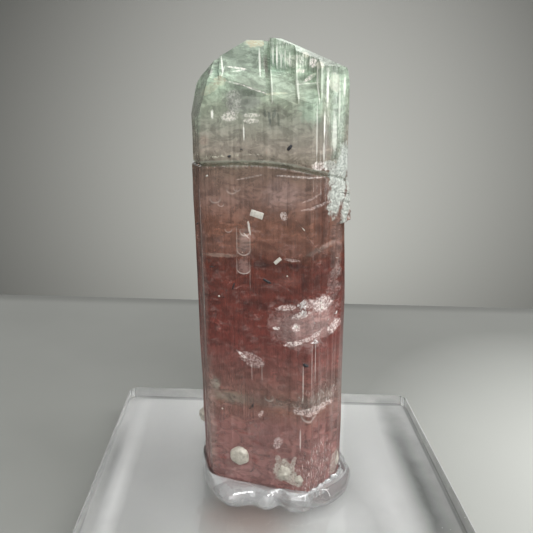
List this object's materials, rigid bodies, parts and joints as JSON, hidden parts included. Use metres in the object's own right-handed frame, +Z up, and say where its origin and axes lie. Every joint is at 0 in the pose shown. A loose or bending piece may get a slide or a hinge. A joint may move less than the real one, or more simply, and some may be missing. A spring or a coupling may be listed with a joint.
{
  "type": "watermelon tourmaline crystal on a clear stand",
  "caption": "Lengthwise ridged tourmaline crystal, green at its stepped top and pink to deep red below, held upright by a clear gel bead on a square acrylic slab.",
  "frame": {"origin": "centre of the acrylic slab's underside", "axes": "+Z up, along the height of the standing object; -Y towards the side that the broad front face of the crystal looks at; X and Y along the slab's sides"},
  "size_m": [0.0762, 0.0762, 0.0959],
  "materials": {
    "tourmaline": "translucent crystal with glossy ridged faces, green at the top and pink to red below",
    "clear_gel": "clear to slightly cloudy soft gel with a smooth surface",
    "clear_acrylic": "clear polished acrylic with eased edges"
  },
  "bodies": {
    "root": {"tourmaline_crystal": "tourmaline", "mounting_putty": "clear_gel", "acrylic_base": "clear_acrylic"}
  },
  "joints": []
}
